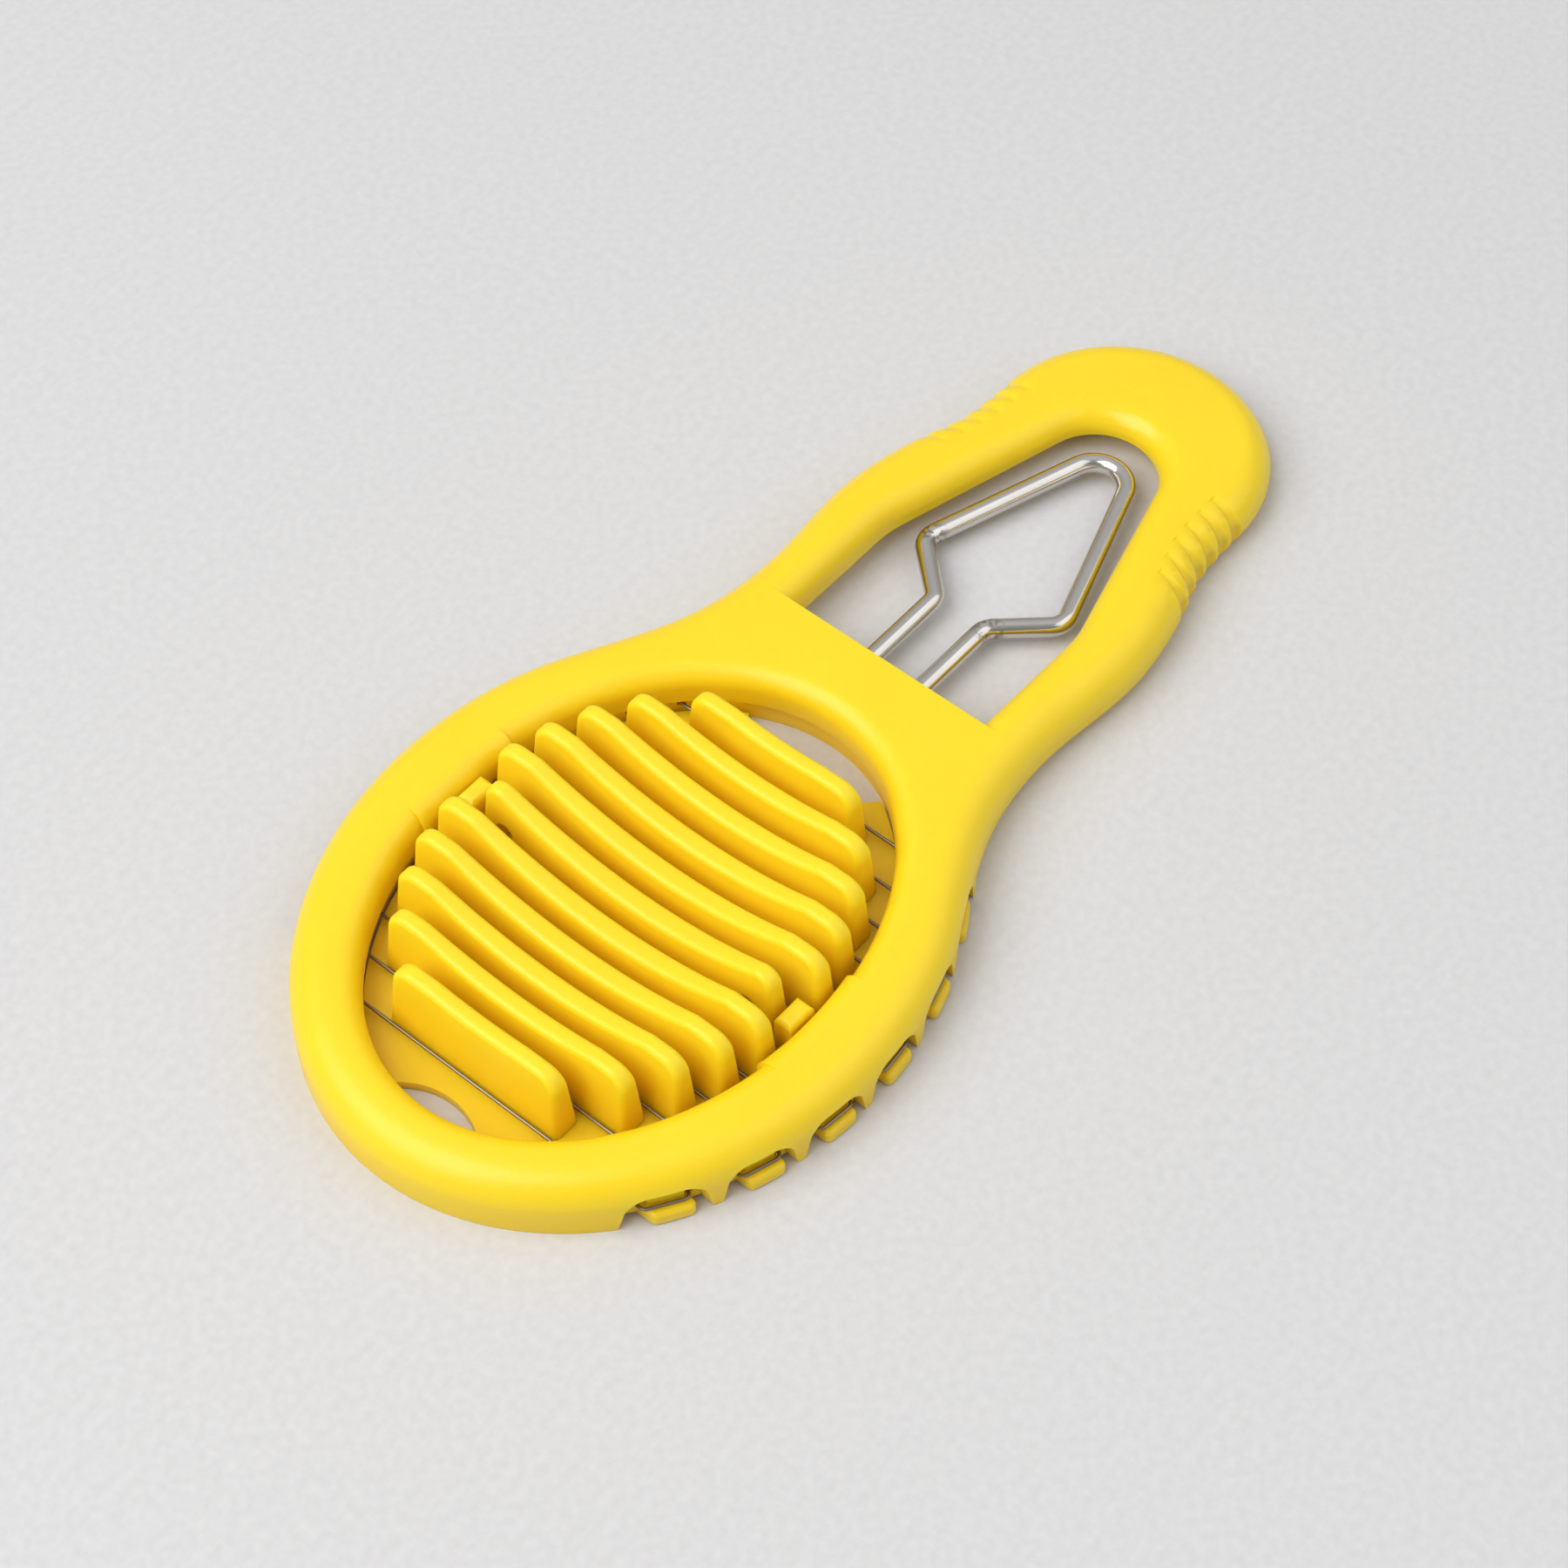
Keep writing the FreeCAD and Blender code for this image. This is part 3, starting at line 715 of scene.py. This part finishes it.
@dataclass
class EggCradle:
    """The finned moulding that the egg lies on."""

    base: SmoothPiece = piece_field("cradle_base", Body.CRADLE, Slot.PLASTIC)
    fins: SmoothPiece = piece_field("cradle_fins", Body.CRADLE, Slot.PLASTIC)

    def build(self, nodes: dict[str, bpy.types.Object]) -> None:
        """Builds the base and the fins.

        Args:
            nodes: CAD objects by node name.
        """
        self.base.build(nodes)
        self.fins.build(nodes)

    def dress(self, effects: SurfaceEffects) -> None:
        """Gives both the cradle's finish.

        Args:
            effects: The shared node groups.
        """
        plastic = CRADLE_YELLOW.material(effects)
        self.base.dress(plastic)
        self.fins.dress(plastic)


@dataclass
class SprungLoop:
    """The bent spring wire in the handle's opening."""

    wire: SmoothPiece = piece_field("wire_loop", Body.LOOP, Slot.STEEL)

    def build(self, nodes: dict[str, bpy.types.Object]) -> None:
        """Builds the loop.

        Args:
            nodes: CAD objects by node name.
        """
        self.wire.build(nodes)

    def dress(self, effects: SurfaceEffects) -> None:
        """Gives the loop its bright finish.

        Args:
            effects: The shared node groups.
        """
        self.wire.dress(LOOP_STEEL.material(effects))


@dataclass(frozen=True)
class SoftLight:
    """A square soft light: where it stands, its side in metres and its power in watts."""

    name: str
    azimuth: float
    elevation: float
    size: float
    power: float
    distance: float = 1.6


@dataclass
class Studio:
    """Pale floor, soft lights and a camera at the photograph's viewing angle."""

    floor_size: float = 6.0
    floor_colour: Colour = (0.560, 0.554, 0.555, 1.0)
    floor_fleck: Colour = (0.672, 0.665, 0.666, 1.0)
    floor_roughness: float = 0.75
    fleck_scale: float = 700.0
    fleck_detail: float = 4.0
    fleck_relief: float = 0.25
    fleck_depth: float = 0.00012
    sky_strength: Span = (0.28, 0.66)
    dark_share: float = 0.53
    dark_edge: Span = (0.80, 0.95)
    lights: tuple[SoftLight, ...] = (
        SoftLight("key", azimuth=-115.0, elevation=52.0, size=1.5, power=24.0),
        SoftLight("fill", azimuth=35.0, elevation=45.0, size=1.6, power=6.0),
    )
    target: Point = (0.0329, 0.00092, 0.0)
    azimuth: float = -49.84
    elevation: float = 52.76
    distance: float = 0.5315
    focal_pixels: float = 4335.0
    image_pixels: float = 1800.0
    sensor_width: float = 36.0
    clip_start: float = 0.01

    def direction(self, azimuth: float, elevation: float) -> Vector:
        """Unit vector from the object towards a place in the sky.

        Args:
            azimuth: Degrees round Z; 0 is on the -Y side and 90 on the +X side.
            elevation: Degrees above the floor.

        Returns:
            The direction.
        """
        turn, rise = math.radians(azimuth), math.radians(elevation)
        level = math.cos(rise)
        return Vector((math.sin(turn) * level, -math.cos(turn) * level, math.sin(rise)))

    def stand(
        self, thing: bpy.types.Object, azimuth: float, elevation: float, distance: float
    ) -> None:
        """Puts a light or the camera in its place, facing the target.

        Args:
            thing: The light or camera.
            azimuth: Degrees round Z.
            elevation: Degrees above the floor.
            distance: Metres from the target.
        """
        away = self.direction(azimuth, elevation)
        thing.location = Vector(self.target) + away * distance
        thing.rotation_mode = "QUATERNION"
        thing.rotation_quaternion = (-away).to_track_quat("-Z", "Y")
        bpy.context.scene.collection.objects.link(thing)

    def floor_material(self) -> bpy.types.Material:
        """Builds the floor's pale paper.

        Returns:
            The finished material.
        """
        paper, shader = new_material("pale_paper")
        tree = paper.node_tree
        place = place_node(tree, "ShaderNodeTexCoord", -4, 0).outputs["Object"]
        flecks = {"Vector": place, "Scale": self.fleck_scale, "Detail": self.fleck_detail}
        fleck = place_noise(tree, flecks, -3, 0)
        tone = place_mix(tree, fleck, self.floor_colour, self.floor_fleck, -2, 0)
        normal = place_bump(tree, fleck, self.fleck_relief, self.fleck_depth, -2, 1)
        feed(tree, shader, {
            "Base Color": tone,
            "Roughness": self.floor_roughness,
            "Normal": normal,
        })
        return paper

    def build_floor(self) -> None:
        """Lays a plain pale floor with a faint paper grain under the object."""
        work = bmesh.new()
        bmesh.ops.create_grid(work, x_segments=2, y_segments=2, size=self.floor_size / 2)
        mesh = bpy.data.meshes.new("floor")
        work.to_mesh(mesh)
        work.free()
        floor = bpy.data.objects.new("floor", mesh)
        bpy.context.scene.collection.objects.link(floor)
        mesh.materials.append(self.floor_material())

    def build_sky(self) -> None:
        """Sets a soft sky that is darker low down and on one side."""
        world = bpy.data.worlds.new("soft_sky")
        world.use_nodes = True
        tree = world.node_tree
        place = place_node(tree, "ShaderNodeTexCoord", -4, 0).outputs["Generated"]
        side = self.direction(self.azimuth, self.elevation)
        facing = place_vector_math(tree, "DOT_PRODUCT", (place, side), -3, 0)
        shade = place_range(tree, facing, self.dark_edge, (1.0, self.dark_share), -2, 0)
        split = place_node(tree, "ShaderNodeSeparateXYZ", -3, 1)
        feed(tree, split, {"Vector": place})
        rise = place_range(tree, split.outputs["Z"], (0.0, 1.0), self.sky_strength, -2, 1)
        strength = place_math(tree, "MULTIPLY", (shade, rise), -1, 0)
        feed(tree, tree.nodes["Background"], {"Color": WHITE, "Strength": strength})
        bpy.context.scene.world = world

    def build_lights(self) -> None:
        """Stands the soft lights round the object and sets plain colour reproduction."""
        for light in self.lights:
            data = bpy.data.lights.new(light.name, "AREA")
            data.shape = "SQUARE"
            data.size = light.size
            data.energy = light.power
            lamp = bpy.data.objects.new(light.name, data)
            self.stand(lamp, light.azimuth, light.elevation, light.distance)
        bpy.context.scene.view_settings.view_transform = "Standard"

    def build_camera(self) -> None:
        """Places the camera as the photograph's perspective gives it."""
        data = bpy.data.cameras.new("camera")
        data.sensor_width = self.sensor_width
        data.lens = self.sensor_width * self.focal_pixels / self.image_pixels
        data.clip_start = self.clip_start
        camera = bpy.data.objects.new("camera", data)
        self.stand(camera, self.azimuth, self.elevation, self.distance)
        bpy.context.scene.camera = camera


def main() -> None:
    """Builds the sub-assemblies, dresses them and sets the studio."""
    logging.basicConfig(level=logging.INFO)
    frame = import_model()
    effects = SurfaceEffects()
    for assembly in (CuttingFrame(), EggCradle(), SprungLoop()):
        assembly.build(frame["nodes"])
        assembly.dress(effects)
    studio = Studio()
    studio.build_floor()
    studio.build_sky()
    studio.build_lights()
    studio.build_camera()


if __name__ == "__main__":
    main()
